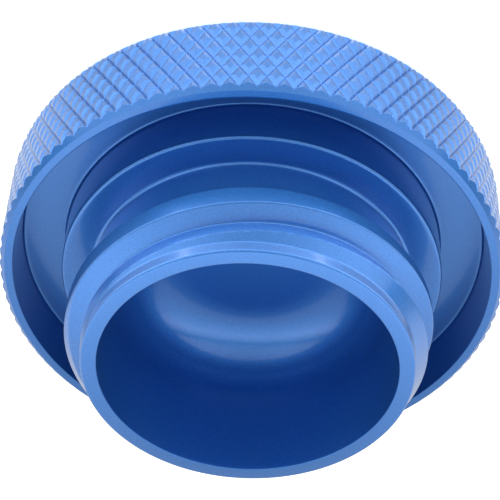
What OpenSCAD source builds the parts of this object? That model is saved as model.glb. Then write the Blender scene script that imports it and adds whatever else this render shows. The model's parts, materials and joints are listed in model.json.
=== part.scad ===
// Screw-in oil filler cap, turned in one piece from aluminium bar.
// It stands on the flat of its head with the threaded spigot pointing up along Z.
// The origin is at the middle of the head's flat face.

/* [Head] */
// Diameter over the points of the knurl
head_dia = 59.2; // [52:0.1:75]
// Height of the head, from its flat face to the rim face
head_height = 12.1; // [9:0.1:20]
// Bevel at the edge of the flat face
flat_bevel = 0.75; // [0.3:0.01:1.2]
// Bevel at the outer edge of the rim face
rim_bevel = 0.62; // [0.3:0.01:0.8]

/* [Knurl] */
// Diamonds in one ring round the head
knurl_count = 93; // [60:1:110]
// Angle between a knurl groove and the axis
knurl_angle = 30.5; // [25:0.5:40]
// Depth of the knurl grooves
knurl_depth = 0.3; // [0.15:0.05:0.6]
// Flat left on each diamond, as a share of the diamond
knurl_flat = 0.3; // [0.15:0.05:0.5]

/* [Underside] */
// Wall of the rim, from the knurl's points to the recess
rim_wall = 1.6; // [1.2:0.05:3.5]
// Depth of the ring-shaped recess below the rim face
recess_depth = 5.95; // [2:0.05:8]
// Draft of the recess wall, on the radius
recess_draft = 0.55; // [0.1:0.05:1]
// Width of the seal seat beyond the thread's outer diameter
seat_ledge = 1.3; // [0.7:0.05:3]
// How far the seal seat lies below the rim face
seat_drop = 0.23; // [0:0.01:1.5]
// Round on the outer edge of the seal seat
seat_round = 0.35; // [0.1:0.05:0.6]

/* [Spigot] */
// Length of the spigot beyond the seal seat
spigot_length = 14.3; // [12.5:0.1:25]
// How far the plain pilot at the open end lies inside the thread, on the radius
pilot_relief = 2.2; // [2.15:0.05:3]
// Length of the pilot from the mouth face
pilot_length = 1.45; // [0.5:0.05:3]
// Round on the outer edge of the mouth
lip_round = 0.3; // [0.1:0.05:0.5]
// How far the neck between seat and thread lies inside the thread, on the radius
neck_relief = 2.4; // [2.2:0.05:3]
// Fillet where the neck meets the seat
neck_fillet = 0.4; // [0.2:0.05:0.8]
// Length of the neck from the seat to the thread's run-out
neck_length = 4.1; // [3.6:0.1:6]

/* [Thread] */
// Outer diameter of the thread
thread_dia = 42; // [38:0.1:46]
// Rise of the thread in one turn
thread_lead = 6; // [5:0.1:7]
// Width of the thread groove at the outer diameter
groove_width = 3.3; // [2.6:0.05:3.8]
// Depth of the thread groove
groove_depth = 2.05; // [1.5:0.05:2.05]
// Angle of each flank of the groove from square to the axis
flank_angle = 22; // [10:1:30]
// Bevel between the groove and the crest
crest_break = 0.25; // [0.1:0.05:0.4]
// Angle of the lead-in cone from the axis
lead_in_angle = 37; // [30:1:45]
// Angle of the run-out cone from the axis
run_out_angle = 44; // [35:1:50]
// Height of the groove's middle below the mouth face, at the front
groove_drop = 3.5; // [3:0.1:5]

/* [Bore] */
// Wall between the pilot and the blind bore
mouth_wall = 1.85; // [1.5:0.05:6]
// Depth of the bore from the mouth face
bore_depth = 19.6; // [15:0.1:21]
// Fillet between the wall and the floor of the bore
bore_fillet = 7.8; // [1:0.1:11]

/* [Hidden] */
$fn = 96;
// how far a cutting tool reaches past the metal, and one solid into another
clear = 0.6;
// steps of the thread cutter in one turn
turn_steps = 72;
// how far a row of diamonds is centred below the flat face
first_row_drop = 0.12;
// direction of the column of diamonds that faces the front
front_column = -89.5;

head_r = head_dia / 2;
rim_inner_r = head_r - rim_wall;
seat_z = head_height - seat_drop;
mouth_z = seat_z + spigot_length;
thread_r = thread_dia / 2;
pilot_r = thread_r - pilot_relief;
neck_r = thread_r - neck_relief;
seat_r = thread_r + seat_ledge;
bore_r = pilot_r - mouth_wall;
recess_z = head_height - recess_depth;
anodised_blue = [0.16, 0.38, 0.80];

// the knurl's pitch round the head and along the axis
diamond_wide = 360 / knurl_count;
diamond_tall = PI * head_dia / knurl_count / tan(knurl_angle);
valley_r = head_r - knurl_depth;
// rows of half a diamond's height, from below the flat face to beyond the rim
row_count = ceil(head_height / (diamond_tall / 2)) + 2;
first_row_z = -first_row_drop - diamond_tall / 2;

function polar(radius, angle, z) = [radius * cos(angle), radius * sin(angle), z];

// Points of one knurl diamond: three corners that its neighbours don't own, then its flat.
// Each row is turned by half a diamond against the row below.
function diamond_angle(row, column) = front_column + (column + (row % 2 == 0 ? 0.5 : 0)) * diamond_wide;
function diamond_z(row) = first_row_z + row * diamond_tall / 2;

// the valley crossing to the left of a diamond, in the ring of crossings of its own row
function crossing(row, column) = polar(
    valley_r,
    diamond_angle(row, column) - diamond_wide / 2,
    diamond_z(row)
);

function flat_corner(row, column, corner) = polar(
    head_r,
    diamond_angle(row, column) + [-1, 0, 1, 0][corner] * knurl_flat * diamond_wide / 2,
    diamond_z(row) + [0, -1, 0, 1][corner] * knurl_flat * diamond_tall / 2
);

// Head blank: a bar whose whole outside is the diamond knurl.
module knurled_bar() {
    crossings = [for (row = [0:row_count], column = [0:knurl_count - 1]) crossing(row, column)];
    flats = [
        for (row = [1:row_count - 1], column = [0:knurl_count - 1], corner = [0:3])
        flat_corner(row, column, corner)
    ];
    function cross_index(row, column) = row * knurl_count + (column + knurl_count) % knurl_count;
    function flat_index(row, column, corner) =
        len(crossings) + ((row - 1) * knurl_count + column) * 4 + corner;
    // the four crossings round a diamond: left, below, right, above
    function around(row, column) = let (shift = row % 2 == 0 ? 1 : 0) [
        cross_index(row, column),
        cross_index(row - 1, column + shift),
        cross_index(row, column + 1),
        cross_index(row + 1, column + shift)
    ];
    sides = [
        for (row = [1:row_count - 1], column = [0:knurl_count - 1], side = [0:3])
        let (ring = around(row, column), next = (side + 1) % 4)
        [ring[side], flat_index(row, column, side), flat_index(row, column, next), ring[next]]
    ];
    tops = [
        for (row = [1:row_count - 1], column = [0:knurl_count - 1])
        [for (corner = [3:-1:0]) flat_index(row, column, corner)]
    ];
    // half diamonds close the two ends of the bar
    low_ends = [
        for (column = [0:knurl_count - 1])
        [cross_index(0, column), cross_index(1, column + 1), cross_index(0, column + 1)]
    ];
    high_shift = row_count % 2 == 0 ? 1 : 0;
    high_ends = [
        for (column = [0:knurl_count - 1])
        [
            cross_index(row_count, column),
            cross_index(row_count, column + 1),
            cross_index(row_count - 1, column + high_shift)
        ]
    ];
    low_cap = [[for (column = [0:knurl_count - 1]) cross_index(0, column)]];
    high_cap = [[for (column = [knurl_count - 1:-1:0]) cross_index(row_count, column)]];
    polyhedron(concat(crossings, flats), concat(sides, tops, low_ends, high_ends, low_cap, high_cap));
}

// The knurled bar faced to length, bevelled at both edges and hollowed by the ring-shaped
// recess, whose wall has a little draft.
module head() {
    intersection() {
        knurled_bar();
        rotate_extrude()
            polygon([
                [0, 0],
                [head_r - flat_bevel, 0],
                [head_r + clear, flat_bevel + clear],
                [head_r + clear, head_height - rim_bevel - clear],
                [head_r - rim_bevel, head_height],
                [rim_inner_r, head_height],
                [rim_inner_r - recess_draft, recess_z],
                [0, recess_z]
            ]);
    }
}

// A block of the turned section from the axis outwards, with its upper corner rounded.
module rounded_step(radius, low, high, round) {
    translate([0, low])
        square([radius, high - low - round]);
    translate([0, low])
        square([radius - round, high - low]);
    translate([radius - round, high - round])
        circle(round);
}

// Spigot before threading: seat, neck, run-out cone, crest, lead-in cone, pilot.
module spigot_blank() {
    run_out_z = seat_z + neck_length;
    crest_low_z = run_out_z + (thread_r - neck_r) / tan(run_out_angle);
    lead_in_z = mouth_z - pilot_length;
    crest_high_z = lead_in_z - (thread_r - pilot_r) / tan(lead_in_angle);
    rotate_extrude() {
        rounded_step(seat_r, recess_z - clear, seat_z, seat_round);
        rounded_step(pilot_r, lead_in_z - clear, mouth_z, lip_round);
        translate([0, seat_z - clear])
            square([neck_r, neck_length + 2 * clear]);
        difference() {
            translate([0, seat_z - clear])
                square([neck_r + neck_fillet, neck_fillet + clear]);
            translate([neck_r + neck_fillet, seat_z + neck_fillet])
                circle(neck_fillet);
        }
        polygon([
            [0, run_out_z],
            [neck_r, run_out_z],
            [thread_r, crest_low_z],
            [thread_r, crest_high_z],
            [pilot_r, lead_in_z],
            [0, lead_in_z]
        ]);
    }
}

// Tool for the thread: the groove's section swept along a right-hand helix, from the free
// space before the pilot to the free space beside the neck.
module thread_cutter() {
    lean = tan(flank_angle);
    root_r = thread_r - groove_depth;
    break_r = thread_r - crest_break;
    root_half = groove_width / 2 - groove_depth * lean;
    break_half = groove_width / 2 - crest_break * lean;
    reach = crest_break + clear;
    section = [
        [root_r, -root_half],
        [break_r, -break_half],
        [break_r + reach, -break_half - reach],
        [break_r + reach, break_half + reach],
        [break_r, break_half],
        [root_r, root_half]
    ];
    // places where the whole groove has left the metal
    low_z = seat_z + neck_length - root_half + (root_r - neck_r) / tan(run_out_angle) - clear / 2;
    high_z = mouth_z - pilot_length + root_half + clear;
    front_z = mouth_z - groove_drop;
    function turned(z) = (z - front_z) / thread_lead * 360 - 90;
    stations = ceil((high_z - low_z) / thread_lead * turn_steps);
    turn = (turned(high_z) - turned(low_z)) / stations;
    points = [
        for (station = [0:stations], corner = section)
        let (angle = turned(low_z) + station * turn)
        polar(corner[0], angle, front_z + (angle + 90) / 360 * thread_lead + corner[1])
    ];
    count = len(section);
    walls = [
        for (station = [0:stations - 1], corner = [0:count - 1])
        let (here = station * count + corner, beside = station * count + (corner + 1) % count)
        each [[here, beside, beside + count], [here, beside + count, here + count]]
    ];
    first_cap = [[for (corner = [count - 1:-1:0]) corner]];
    last_cap = [[for (corner = [0:count - 1]) stations * count + corner]];
    polyhedron(points, concat(walls, first_cap, last_cap));
}

// Blind bore with a wide fillet round its floor.
module bore() {
    floor_z = mouth_z - bore_depth;
    rotate_extrude() {
        translate([0, floor_z])
            square([bore_r - bore_fillet, bore_depth + clear]);
        translate([0, floor_z + bore_fillet])
            square([bore_r, bore_depth - bore_fillet + clear]);
        intersection() {
            translate([bore_r - bore_fillet, floor_z + bore_fillet])
                circle(bore_fillet);
            translate([0, floor_z])
                square([bore_r, bore_depth]);
        }
    }
}

module cap_body() {
    color(anodised_blue)
        difference() {
            union() {
                head();
                difference() {
                    spigot_blank();
                    thread_cutter();
                }
            }
            bore();
        }
}

cap_body();
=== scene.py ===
import json
import math

import bmesh
import bpy
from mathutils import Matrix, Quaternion, Vector


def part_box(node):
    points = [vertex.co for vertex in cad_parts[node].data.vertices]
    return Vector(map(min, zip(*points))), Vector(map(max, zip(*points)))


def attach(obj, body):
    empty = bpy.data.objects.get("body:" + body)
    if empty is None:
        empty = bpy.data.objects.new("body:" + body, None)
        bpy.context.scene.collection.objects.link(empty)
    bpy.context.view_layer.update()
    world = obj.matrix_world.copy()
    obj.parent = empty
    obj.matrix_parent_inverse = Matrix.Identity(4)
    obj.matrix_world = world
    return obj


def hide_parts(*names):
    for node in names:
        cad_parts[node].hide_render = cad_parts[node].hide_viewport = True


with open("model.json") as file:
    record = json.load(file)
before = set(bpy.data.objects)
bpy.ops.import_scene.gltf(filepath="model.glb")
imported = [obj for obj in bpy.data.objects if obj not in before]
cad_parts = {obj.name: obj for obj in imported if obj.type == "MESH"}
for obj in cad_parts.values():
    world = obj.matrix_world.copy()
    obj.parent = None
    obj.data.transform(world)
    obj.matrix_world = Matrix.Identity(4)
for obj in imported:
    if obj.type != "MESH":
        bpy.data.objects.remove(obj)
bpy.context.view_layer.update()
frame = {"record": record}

mm = 0.001
mounts = {mount["name"]: mount for mount in frame["record"]["mounts"]}
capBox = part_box("cap_body")


class Wire:
    # one output of a node; arithmetic with it adds Math nodes to the same tree
    def __init__(self, desk, socket):
        self.desk = desk
        self.socket = socket

    def out(self, name):
        return Wire(self.desk, self.socket.node.outputs[name])

    def math(self, operation, other=None, third=None):
        return self.desk.math(operation, self, other, third)

    def __add__(self, other):
        return self.math("ADD", other)

    __radd__ = __add__

    def __sub__(self, other):
        return self.math("SUBTRACT", other)

    def __rsub__(self, other):
        return self.desk.math("SUBTRACT", other, self)

    def __mul__(self, other):
        return self.math("MULTIPLY", other)

    __rmul__ = __mul__

    def __truediv__(self, other):
        return self.math("DIVIDE", other)

    def __rtruediv__(self, other):
        return self.desk.math("DIVIDE", other, self)


class Desk:
    # an emptied node tree and the one way this script adds nodes to it
    def __init__(self, tree):
        tree.nodes.clear()
        self.tree = tree

    def node(self, kind, settings=None, sockets=None):
        made = self.tree.nodes.new(kind)
        for name, value in (settings or {}).items():
            setattr(made, name, value)
        for name, value in (sockets or {}).items():
            if isinstance(value, Wire):
                self.tree.links.new(value.socket, made.inputs[name])
            elif value is not None:
                made.inputs[name].default_value = value
        return Wire(self, made.outputs[0]) if made.outputs else made

    def math(self, operation, first, second=None, third=None):
        settings = {"operation": operation}
        return self.node("ShaderNodeMath", settings, {0: first, 1: second, 2: third})

    def dot(self, first, second):
        settings = {"operation": "DOT_PRODUCT"}
        return self.node("ShaderNodeVectorMath", settings, {0: first, 1: second}).out("Value")


def shaderDesk(owner):
    owner.use_nodes = True
    return Desk(owner.node_tree)


def placeObject(name, data):
    made = bpy.data.objects.new(name, data)
    bpy.context.scene.collection.objects.link(made)
    return made


# The cap, in millimetres and degrees. Heights count from the head's flat face.
capSizes = {
    "headHeight": 12.1,
    "flatBevel": 0.75,
    "rimBevel": 0.62,
    "knurlCount": 93,
    "knurlAngle": 30.5,
    "knurlDepth": 0.3,
    "knurlFlat": 0.4,        # width of a diamond's flat beside the diamond's own
    "facetAngle": 20.0,      # slope of a diamond's four sides
    "grooveAngle": 48.0,     # slope beside the groove's bottom
    "knurlRow": -0.12,       # height of one ring of diamond centres
    "knurlTurn": -89.5,      # angle of one diamond centre in that ring
    "rimInnerRadius": 28.0,
    "recessDepth": 5.95,
    "recessDraft": 0.55,
    "recessFillet": 0.25,
    "seatRadius": 22.3,
    "seatRound": 0.35,
    "neckRadius": 18.6,
    "neckFillet": 0.4,
    "neckLength": 4.1,
    "pilotLength": 1.45,
    "lipRound": 0.3,
    "threadRadius": 21.0,
    "threadLead": 6.0,
    "grooveWidth": 3.6,
    "grooveDepth": 2.05,
    "grooveDrop": 3.5,       # groove's middle below the mouth face, at the front
    "flankAngle": 25.5,
    "leadInAngle": 37.0,
    "runOutAngle": 44.0,
    "edgeRound": 0.12,       # how far apart two faces start to blend at an edge of the thread
    "runOutRound": 0.2,      # the same at the run-out's edge
    "coreRound": 0.1,        # and at the thread's foot
    "boreRadius": 16.95,
    "boreDepth": 19.6,
    "boreFillet": 7.8,
    "smallRound": 0.12,      # softened edges of the rim and the bore

    # mesh: steps of the roundings, and how far beside them extra rings keep plain faces even
    "bevelSteps": 6,
    "filletSteps": 4,
    "neckSteps": 5,
    "lipSteps": 6,
    "boreSteps": 28,
    "closeRing": 0.1,
    "nearRing": 0.3,
    "farRing": 0.6,
    "faceRing": 0.5,         # the same on the head's flat face
    "floorRing": 0.8,        # and on the bore's floor
    "draftRings": (0.03, 0.06),      # on the recess's leaning wall: in at its top, out at its foot
    "knurlColumns": 10,      # mesh columns in one diamond
    "columnRatio": 5,        # knurl columns beside one column of the plain surfaces
    "rowMargin": 0.3,        # rows of the lattice stay this part of a row away from the bevels
    "threadRowStep": 0.055,

    # an edge is shaded sharp from this angle on
    "knurlSharp": 17,
    "plainSharp": 40,
    "knurlReach": 1.0,       # the knurl's angle holds so far in from the head's radius
}
capSizes["headRadius"] = capBox[1].x / mm
capSizes["mouthHeight"] = capBox[1].z / mm
capSizes["seatHeight"] = mounts["seal_seat"]["pos_m"][2] / mm
capSizes["pilotRadius"] = mounts["pilot"]["dims"]["r_mm"]
capSizes["runOutHeight"] = capSizes["seatHeight"] + capSizes["neckLength"]
capSizes["leadInHeight"] = capSizes["mouthHeight"] - capSizes["pilotLength"]
capSizes["grooveHeight"] = capSizes["mouthHeight"] - capSizes["grooveDrop"]

plainCut, knurlCut, threadCut = 0, 1, 2
cutTolerance = 0.1


def arcPoints(centre, radius, start, end, steps):
    angles = [math.radians(start + (end - start) * step / steps) for step in range(steps + 1)]
    return [(centre[0] + radius * math.cos(a), centre[1] + radius * math.sin(a)) for a in angles]


def diamondHeight(s):
    wide = 2 * math.pi * s["headRadius"] / s["knurlCount"]
    return wide / math.tan(math.radians(s["knurlAngle"]))


def knurlHeights(s):
    # rows on the diamond lattice, with close rows in the two bevels
    rowStep = diamondHeight(s) / s["knurlColumns"]
    margin = rowStep * s["rowMargin"]
    steps = s["bevelSteps"]
    low = [s["flatBevel"] * step / steps for step in range(steps + 1)]
    high = [s["headHeight"] - s["rimBevel"] * step / steps for step in range(steps, -1, -1)]
    firstRow = math.ceil((low[-1] + margin - s["knurlRow"]) / rowStep)
    lastRow = math.floor((high[0] - margin - s["knurlRow"]) / rowStep)
    return low + [s["knurlRow"] + row * rowStep for row in range(firstRow, lastRow + 1)] + high


def capRings(s):
    # rings from the middle of the head's flat face, round the outside and over the mouth, to the
    # middle of the bore's floor: radius, height, kind of cut, and whether the ring is a fine one
    rings = []

    def add(points, cut=plainCut, fine=False):
        rings.extend((radius, height, cut, fine) for radius, height in points)

    close, near, far = s["closeRing"], s["nearRing"], s["farRing"]
    small, fillet, filletSteps = s["smallRound"], s["recessFillet"], s["filletSteps"]
    top, rim = s["headHeight"], s["rimInnerRadius"]
    faceEdge = s["headRadius"] - s["flatBevel"]
    add([(0, 0), (faceEdge / 2, 0), (faceEdge - 2 * far, 0), (faceEdge - s["faceRing"], 0)])
    add([(s["headRadius"], height) for height in knurlHeights(s)], knurlCut, True)

    # rim and recess
    recessFloor = top - s["recessDepth"]
    recessWall = rim - s["recessDraft"]
    highDraft, lowDraft = s["draftRings"]
    add([(s["headRadius"] - s["rimBevel"] - near, top), (rim + small + close, top)])
    add(arcPoints((rim + small, top - small), small, 90, 180, filletSteps))
    add([(rim - highDraft, top - small - 2 * close)])
    add([(recessWall + lowDraft, recessFloor + fillet + near)])
    add(arcPoints((recessWall - fillet, recessFloor + fillet), fillet, 0, -90, filletSteps))

    # seal seat
    seat, seatRadius, seatRound = s["seatHeight"], s["seatRadius"], s["seatRound"]
    neck, neckFillet = s["neckRadius"], s["neckFillet"]
    add([(recessWall - fillet - near, recessFloor), (seatRadius + fillet + near, recessFloor)])
    add(arcPoints((seatRadius + fillet, recessFloor + fillet), fillet, -90, -180, filletSteps))
    add([(seatRadius, recessFloor + fillet + near), (seatRadius, seat - seatRound - near)])
    add(arcPoints((seatRadius - seatRound, seat - seatRound), seatRound, 0, 90, s["lipSteps"]))
    add([(seatRadius - seatRound - near, seat), (neck + neckFillet + near, seat)])
    add(arcPoints((neck + neckFillet, seat + neckFillet), neckFillet, -90, -180, s["neckSteps"]))

    # threaded length: close rows, cut to shape by the thread rule
    mouth, lip = s["mouthHeight"], s["lipRound"]
    threadLow = seat + s["neckLength"] - far
    threadLength = mouth - lip - close - threadLow
    rows = round(threadLength / s["threadRowStep"])
    add([(neck, seat + neckFillet + far)])
    add([(neck, threadLow + threadLength * row / rows) for row in range(rows + 1)], threadCut)

    # mouth and bore
    bore, boreFillet = s["boreRadius"], s["boreFillet"]
    boreFloor = mouth - s["boreDepth"]
    add(arcPoints((s["pilotRadius"] - lip, mouth - lip), lip, 0, 90, s["lipSteps"]))
    add([(bore + small + close, mouth)])
    add(arcPoints((bore + small, mouth - small), small, 90, 180, filletSteps))
    add([(bore, mouth - far), (bore, boreFloor + boreFillet + far)])
    add(arcPoints((bore - boreFillet, boreFloor + boreFillet), boreFillet, 0, -90, s["boreSteps"]))
    add([(bore - boreFillet - s["floorRing"], boreFloor), (bore / 4, boreFloor), (0, boreFloor)])
    return rings


def grooveRises(s, column, height):
    # true if the groove nearest to this cell runs from its lower left to its upper right corner
    across = (column + 0.5) / s["knurlColumns"] + 0.5
    up = (height - s["knurlRow"]) / diamondHeight(s)
    falling, rising = across + up, across - up
    return abs(rising - round(rising)) < abs(falling - round(falling))


def fanFaces(tip, loop, tipFirst):
    # triangles between one point and a ring
    faces = []
    for column, corner in enumerate(loop):
        beside = loop[(column + 1) % len(loop)]
        faces.append((tip, beside, corner) if tipFirst else (corner, beside, tip))
    return faces


def bandFaces(s, here, above, height):
    # quads between two equal rings; in the knurl, triangles that keep to the grooves
    faces = []
    knurled = len(here) == s["knurlCount"] * s["knurlColumns"]
    for column in range(len(here)):
        beside = (column + 1) % len(here)
        a, b, c, d = here[column], here[beside], above[beside], above[column]
        if not knurled:
            faces.append((a, b, c, d))
        elif grooveRises(s, column, height):
            faces += [(a, b, c), (a, c, d)]
        else:
            faces += [(a, b, d), (b, c, d)]
    return faces


def stepFaces(s, here, above):
    # triangles between a plain ring and a fine one: several narrow edges meet one wide edge
    faces = []
    ratio = s["columnRatio"]
    half = ratio // 2
    fineAbove = len(above) > len(here)
    wide, narrow = (here, above) if fineAbove else (above, here)
    for column, first in enumerate(wide):
        second = wide[(column + 1) % len(wide)]
        run = [narrow[(column * ratio + step) % len(narrow)] for step in range(ratio + 1)]
        fan = [(first, run[step + 1], run[step]) for step in range(half)]
        fan += [(second, run[step + 1], run[step]) for step in range(half, ratio)]
        fan.append((first, second, run[half]))
        faces += fan if fineAbove else [face[::-1] for face in fan]
    return faces


def capBlank(s):
    # the section spun into a closed mesh, with the kind of cut kept on each point
    fineCount = s["knurlCount"] * s["knurlColumns"]
    start = math.radians(s["knurlTurn"])
    shape = bmesh.new()
    cutLayer = shape.verts.layers.float.new("cut")
    rings = capRings(s)
    loops = []
    for radius, height, cut, fine in rings:
        count = 1 if radius == 0 else fineCount if fine else fineCount // s["columnRatio"]
        loop = []
        for column in range(count):
            angle = start + 2 * math.pi * column / count
            x, y = radius * mm * math.cos(angle), radius * mm * math.sin(angle)
            vert = shape.verts.new((x, y, height * mm))
            vert[cutLayer] = cut
            loop.append(vert)
        loops.append(loop)

    for index in range(len(loops) - 1):
        here, above = loops[index], loops[index + 1]
        if len(here) == 1:
            faces = fanFaces(here[0], above, True)
        elif len(above) == 1:
            faces = fanFaces(above[0], here, False)
        elif len(here) == len(above):
            faces = bandFaces(s, here, above, (rings[index][1] + rings[index + 1][1]) / 2)
        else:
            faces = stepFaces(s, here, above)
        for face in faces:
            shape.faces.new(face)
    mesh = bpy.data.meshes.new("capBlank")
    bmesh.ops.recalc_face_normals(shape, faces=shape.faces)
    shape.to_mesh(mesh)
    shape.free()
    return mesh


def capCutTree(material):
    # Geometry Nodes: the knurl and the thread are cut into the blank by rule
    tree = bpy.data.node_groups.new("knurlAndThread", "GeometryNodeTree")
    tree.interface.new_socket("Blank", in_out="INPUT", socket_type="NodeSocketGeometry")
    names = [
        "headRadius", "headHeight", "flatBevel", "rimBevel", "knurlCount", "knurlAngle",
        "knurlDepth", "knurlFlat", "facetAngle", "grooveAngle", "knurlRow", "knurlTurn",
        "neckRadius", "pilotRadius", "threadRadius", "threadLead", "grooveWidth", "grooveDepth",
        "grooveHeight", "flankAngle", "leadInAngle", "leadInHeight", "runOutAngle",
        "runOutHeight", "edgeRound", "runOutRound", "coreRound",
    ]
    for name in names:
        tree.interface.new_socket(name, in_out="INPUT", socket_type="NodeSocketFloat")
    tree.interface.new_socket("Cap", in_out="OUTPUT", socket_type="NodeSocketGeometry")
    desk = Desk(tree)
    given = desk.node("NodeGroupInput")
    v = {name: given.out(name) for name in names}
    toRadians = math.pi / 180

    def slope(name):
        return (v[name] * toRadians).math("TANGENT")

    place = desk.node("ShaderNodeSeparateXYZ", None, {0: desk.node("GeometryNodeInputPosition")})
    x, y, z = place.out("X") / mm, place.out("Y") / mm, place.out("Z") / mm
    angle = y.math("ARCTAN2", x)
    radius = (x * x + y * y).math("SQRT")

    # diamond knurl: each diamond slopes gently from its flat to narrow steep grooves, which run
    # helically both ways; the deeper of the two slopes counts, and the bevels cut both off
    diamondWide = 2 * math.pi / v["knurlCount"]
    diamondTall = diamondWide * v["headRadius"] / slope("knurlAngle")
    lean = (v["knurlAngle"] * toRadians).math("COSINE")
    halfPitch = diamondWide * v["headRadius"] * lean / 2
    across = (angle - v["knurlTurn"] * toRadians) / diamondWide + 0.5
    up = (z - v["knurlRow"]) / diamondTall
    falling = (across + up).math("PINGPONG", 0.5)
    rising = (across - up).math("PINGPONG", 0.5)
    fromGroove = falling.math("MINIMUM", rising) * 2
    facet = (1 - v["knurlFlat"] - fromGroove) * halfPitch * slope("facetAngle")
    groove = v["knurlDepth"] - fromGroove * halfPitch * slope("grooveAngle")
    cut = facet.math("MAXIMUM", 0.0).math("MAXIMUM", groove)
    lowBevel = v["headRadius"] - v["flatBevel"] + z
    highBevel = v["headRadius"] - v["rimBevel"] + v["headHeight"] - z
    knurlRadius = (v["headRadius"] - cut).math("MINIMUM", lowBevel.math("MINIMUM", highBevel))

    # thread: a crest between two cones, cut by one helical groove whose height is given at the
    # front, a quarter turn before angle 0; below both lie the neck and the pilot
    runOut = v["neckRadius"] + (z - v["runOutHeight"]) * slope("runOutAngle")
    leadIn = v["pilotRadius"] + (v["leadInHeight"] - z) * slope("leadInAngle")
    crest = runOut.math("SMOOTH_MIN", v["threadRadius"], v["runOutRound"])
    crest = crest.math("SMOOTH_MIN", leadIn, v["edgeRound"])
    turns = angle / (2 * math.pi) + 0.25
    rise = z - v["grooveHeight"] - turns * v["threadLead"]
    offset = rise.math("WRAP", v["threadLead"] / 2, v["threadLead"] / -2).math("ABSOLUTE")
    lean = slope("flankAngle")
    rootRadius = v["threadRadius"] - v["grooveDepth"]
    rootHalf = v["grooveWidth"] / 2 - v["grooveDepth"] * lean
    flank = rootRadius + (offset - rootHalf) / lean
    flank = flank.math("SMOOTH_MAX", rootRadius, v["edgeRound"])
    ridge = crest.math("SMOOTH_MIN", flank, v["edgeRound"])
    upper = z.math("GREATER_THAN", (v["runOutHeight"] + v["leadInHeight"]) / 2)
    core = v["neckRadius"] + (v["pilotRadius"] - v["neckRadius"]) * upper
    threadRadius = ridge.math("SMOOTH_MAX", core, v["coreRound"])

    kind = desk.node("GeometryNodeInputNamedAttribute", {"data_type": "FLOAT"}, {"Name": "cut"})
    isKnurl = kind.math("COMPARE", knurlCut, cutTolerance)
    isThread = kind.math("COMPARE", threadCut, cutTolerance)
    plain = radius * (1 - isKnurl - isThread)
    newRadius = (plain + knurlRadius * isKnurl + threadRadius * isThread) * mm
    newPlace = desk.node("ShaderNodeCombineXYZ", None, {
        0: newRadius * angle.math("COSINE"),
        1: newRadius * angle.math("SINE"),
        2: place.out("Z"),
    })
    shaped = desk.node("GeometryNodeSetPosition", None, {
        "Geometry": given.out("Blank"),
        "Position": newPlace,
    })
    realized = desk.node("GeometryNodeRealizeInstances", None, {0: shaped})
    painted = desk.node("GeometryNodeSetMaterial", None, {
        "Geometry": realized,
        "Material": material,
    })
    desk.node("NodeGroupOutput", None, {"Cap": painted})
    return tree, names


def sharpenEdges(mesh, s):
    # the knurl's facets show their edges; elsewhere the small roundings are shaded smooth
    inner = (s["headRadius"] - s["knurlReach"]) * mm
    shape = bmesh.new()
    shape.from_mesh(mesh)
    for edge in shape.edges:
        middle = (edge.verts[0].co + edge.verts[1].co) / 2
        knurled = math.hypot(middle.x, middle.y) > inner
        limit = s["knurlSharp"] if knurled else s["plainSharp"]
        edge.smooth = edge.calc_face_angle(0) < math.radians(limit)
    shape.to_mesh(mesh)
    shape.free()


def makeCap(material):
    holder = placeObject("capBlank", capBlank(capSizes))
    tree, names = capCutTree(material)
    modifier = holder.modifiers.new("knurlAndThread", "NODES")
    modifier.node_group = tree
    inputs = [item for item in tree.interface.items_tree if item.in_out == "INPUT"]
    sockets = {item.name: item.identifier for item in inputs}
    for name in names:
        modifier[sockets[name]] = float(capSizes[name])
    bpy.context.view_layer.update()
    evaluated = holder.evaluated_get(bpy.context.evaluated_depsgraph_get())
    mesh = bpy.data.meshes.new_from_object(evaluated)
    bpy.data.objects.remove(holder)
    mesh.attributes.remove(mesh.attributes["cut"])
    mesh.polygons.foreach_set("use_smooth", [True] * len(mesh.polygons))
    sharpenEdges(mesh, capSizes)
    mesh.name = "oilCap"
    triangles = sum(len(face.vertices) - 2 for face in mesh.polygons)
    print("cap:", len(mesh.vertices), "points,", triangles, "triangles")
    return placeObject("oilCap", mesh)


# Finish of the cap: satin blasted aluminium, anodised blue, under a thin clear coat
blueFinish = {
    "colour": (0.020, 0.133, 0.42, 1),
    "speckle": (0.025, 0.163, 0.50, 1),      # colour of the lighter grains
    "speckleFrom": 0.35,                     # height of the grain where its colour starts to turn
    "speckleTo": 0.65,
    "metal": 0.75,
    "roughness": 0.35,
    "coat": 0.8,
    "coatRoughness": 0.12,
    "coatIor": 1.5,
    "grainScale": 5200.0,
    "grainDetail": 2.0,
    "grainHeight": 0.03,                     # millimetres
    "grainStrength": 0.35,
}


def anodisedBlue(look):
    material = bpy.data.materials.new("anodisedBlue")
    desk = shaderDesk(material)
    grain = desk.node("ShaderNodeTexNoise", None, {
        "Vector": desk.node("ShaderNodeTexCoord").out("Object"),
        "Scale": look["grainScale"],
        "Detail": look["grainDetail"],
    })
    lighter = desk.node("ShaderNodeMapRange", None, {
        "Value": grain,
        "From Min": look["speckleFrom"],
        "From Max": look["speckleTo"],
    })
    paint = desk.node("ShaderNodeMix", {"data_type": "RGBA"}, {
        "Factor": lighter,
        6: look["colour"],
        7: look["speckle"],
    })
    bump = desk.node("ShaderNodeBump", None, {
        "Strength": look["grainStrength"],
        "Distance": look["grainHeight"] * mm,
        "Height": grain,
    })
    shader = desk.node("ShaderNodeBsdfPrincipled", None, {
        "Base Color": paint.out("Result"),
        "Metallic": look["metal"],
        "Roughness": look["roughness"],
        "Coat Weight": look["coat"],
        "Coat Roughness": look["coatRoughness"],
        "Coat IOR": look["coatIor"],
        "Normal": bump,
    })
    desk.node("ShaderNodeOutputMaterial", None, {"Surface": shader})
    return material


cap = makeCap(anodisedBlue(blueFinish))
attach(cap, "root")
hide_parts("cap_body")
print("cap in place")

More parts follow.
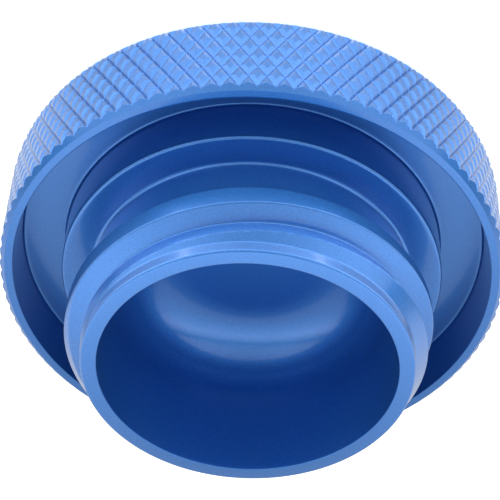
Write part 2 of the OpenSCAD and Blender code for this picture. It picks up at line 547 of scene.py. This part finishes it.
# Floor: pale and plain. Reflections pass through it to the studio light, and it lights nothing.
floorLook = {
    "half": 3.0,
    "grey": 0.9,
    "glow": 0.55,            # added for the camera only
}


def makeSheet(name, corners, material):
    # one quad, whose glow is found by bounced rays alone
    mesh = bpy.data.meshes.new(name)
    mesh.from_pydata(corners, [], [(0, 1, 2, 3)])
    mesh.materials.append(material)
    material.cycles.emission_sampling = "NONE"
    return placeObject(name, mesh)


def makeFloor(look):
    material = bpy.data.materials.new("paleFloor")
    desk = shaderDesk(material)
    path = desk.node("ShaderNodeLightPath")
    grey = look["grey"]
    paint = desk.node("ShaderNodeBsdfDiffuse", None, {"Color": (grey, grey, grey, 1)})
    glow = desk.node("ShaderNodeEmission", None, {"Strength": look["glow"]})
    shown = desk.node("ShaderNodeAddShader", None, {0: paint, 1: glow})
    clear = desk.node("ShaderNodeBsdfTransparent")
    plain = desk.node("ShaderNodeMixShader", None, {
        0: path.out("Is Camera Ray"),
        1: paint,
        2: shown,
    })
    mixed = desk.node("ShaderNodeMixShader", None, {
        0: path.out("Is Glossy Ray"),
        1: plain,
        2: clear,
    })
    desk.node("ShaderNodeOutputMaterial", None, {"Surface": mixed})
    half = look["half"]
    corners = [(-half, -half, 0), (half, -half, 0), (half, half, 0), (-half, half, 0)]
    floor = makeSheet("floor", corners, material)
    floor.visible_diffuse = False


makeFloor(floorLook)
print("floor in place")

# Studio light: a glowing card that leans on the mouth and the head's edge, as the surface does on
# which the cap rests in the photo, and soft light boxes round the card's other side. The card's
# glow
# is painted light: a low level with brighter spots laid on, standing in for the light on that
# surface and the cap's shade on it
studio = {
    "cardTouch": Vector((0, 18.8, 26.17)),       # the mouth's edge, in millimetres
    "cardNormal": Vector((0, 0.79, 0.61)),
    "cardGap": 0.3,
    "cardHalf": 400.0,
    "cardLevel": 0.3,
    # painted pools of light on the card's glow: across, along from the touch, width (all
    # millimetres), level; a spot off the middle stands on both sides
    "paintedLightSpots": (
        (0, 20, 90, 0.55),
        (75, -75, 25, 0.2),
        (75, 10, 25, 1.1),
        (45, 60, 25, 0.25),
        (0, 35, 14, 0.6),
        (30, 35, 14, 1.0),
        (75, 35, 25, 0.2),
        (0, 70, 25, 0.35),
        (30, 70, 25, 0.4),
        (75, 70, 25, 0.3),
        (75, 130, 25, 0.4),
    ),
    # boxes: climb from the card and turn from its rising side (degrees), tightness, level;
    # a box off the middle stands on both sides
    "boxes": (
        (90, 0, 15, 0.15),
        (62, 0, 15, 1.7),
        (62, 60, 15, 1.8),
        (62, 120, 15, 1.0),
        (62, 180, 15, 0.45),
        (36, 36, 15, 0.35),
        (36, 72, 15, 1.7),
        (36, 108, 15, 0.6),
        (36, 180, 15, 0.6),
        (12, 0, 15, 0.6),
        (12, 30, 15, 0.9),
        (12, 60, 15, 1.2),
        (12, 90, 15, 2.2),
        (12, 120, 15, 0.3),
        (12, 150, 15, 0.8),
        (12, 180, 15, 0.3),
        (54, 113, 700, 8.0),     # small ones, for the lines of light on the edges
        (46, 180, 120, 3.0),
        (-90, 0, 1, 1.0),        # behind the card, for the floor only
    ),
}


def bothSides(offset):
    return (1, -1) if offset else (1,)


def makeCard():
    normal = studio["cardNormal"].normalized()
    along = Vector((0, -normal.z, normal.y))
    start = (studio["cardTouch"] + normal * studio["cardGap"]) * mm
    material = bpy.data.materials.new("paintedLightCard")
    desk = shaderDesk(material)
    place = desk.node("ShaderNodeTexCoord").out("Object")
    left = desk.node("ShaderNodeSeparateXYZ", None, {0: place}).out("X")
    far = desk.dot(place, along)
    level = studio["cardLevel"]
    # painted pools of light, added to the card's low glow
    for across, further, width, strength in studio["paintedLightSpots"]:
        down = (far - (start.dot(along) + further * mm)) / (width * mm)
        for side in bothSides(across):
            aside = (left - side * across * mm) / (width * mm)
            spot = ((aside * aside + down * down) * -0.5).math("EXPONENT")
            level = spot * strength + level
    # the card's glow, with its painted light and shade, shows on its front only
    glow = desk.node("ShaderNodeEmission", None, {"Color": level})
    clear = desk.node("ShaderNodeBsdfTransparent")
    atBack = desk.node("ShaderNodeNewGeometry").out("Backfacing")
    oneSided = desk.node("ShaderNodeMixShader", None, {0: atBack, 1: glow, 2: clear})
    desk.node("ShaderNodeOutputMaterial", None, {"Surface": oneSided})
    half = studio["cardHalf"] * mm
    signs = ((-1, -1), (1, -1), (1, 1), (-1, 1))
    corners = [start + Vector((x * half, 0, 0)) + along * y * half for x, y in signs]
    card = makeSheet("glowingCard", corners, material)
    card.visible_camera = False
    card.visible_shadow = False
    card.visible_transmission = False


def makeWorld():
    world = bpy.data.worlds.new("studio")
    bpy.context.scene.world = world
    desk = shaderDesk(world)
    direction = desk.node("ShaderNodeTexCoord").out("Generated")
    isCamera = desk.node("ShaderNodeLightPath").out("Is Camera Ray")
    up = -studio["cardNormal"].normalized()
    along = Vector((0, up.z, -up.y))
    level = 0
    for climb, turn, tight, strength in studio["boxes"]:
        rise, swing = math.radians(climb), math.radians(turn)
        for side in bothSides(turn % 180):
            flat = along * math.cos(swing) + Vector((side * math.sin(swing), 0, 0))
            aim = up * math.sin(rise) + flat * math.cos(rise)
            box = ((desk.dot(direction, aim) - 1) * tight).math("EXPONENT")
            level = box * strength + level
    level = level * (1 - isCamera) + isCamera      # the camera sees plain white
    shader = desk.node("ShaderNodeBackground", None, {"Color": level})
    desk.node("ShaderNodeOutputWorld", None, {"Surface": shader})
    world.cycles.sampling_method = "NONE"


makeCard()
makeWorld()
print("studio light set")

# Camera: in front of the cap and above it, rolled so that the head is at the top of the picture
cameraSizes = {
    "place": (0.0, -0.14790, 0.16111),
    "aim": (0.00031, 0.0, 0.00631),
    "lens": 128.65,
    "sensor": 36,
    "nearClip": 0.01,
    "roll": 182.513,
}


def makeCamera(sizes):
    data = bpy.data.cameras.new("camera")
    data.lens = sizes["lens"]
    data.sensor_width = sizes["sensor"]
    data.clip_start = sizes["nearClip"]
    camera = placeObject("camera", data)
    look = Vector(sizes["aim"]) - Vector(sizes["place"])
    roll = Quaternion((0, 0, 1), math.radians(sizes["roll"]))
    camera.rotation_mode = "QUATERNION"
    camera.rotation_quaternion = look.to_track_quat("-Z", "Y") @ roll
    camera.location = sizes["place"]
    bpy.context.scene.camera = camera


makeCamera(cameraSizes)
scene = bpy.context.scene
scene.view_settings.view_transform = "Standard"
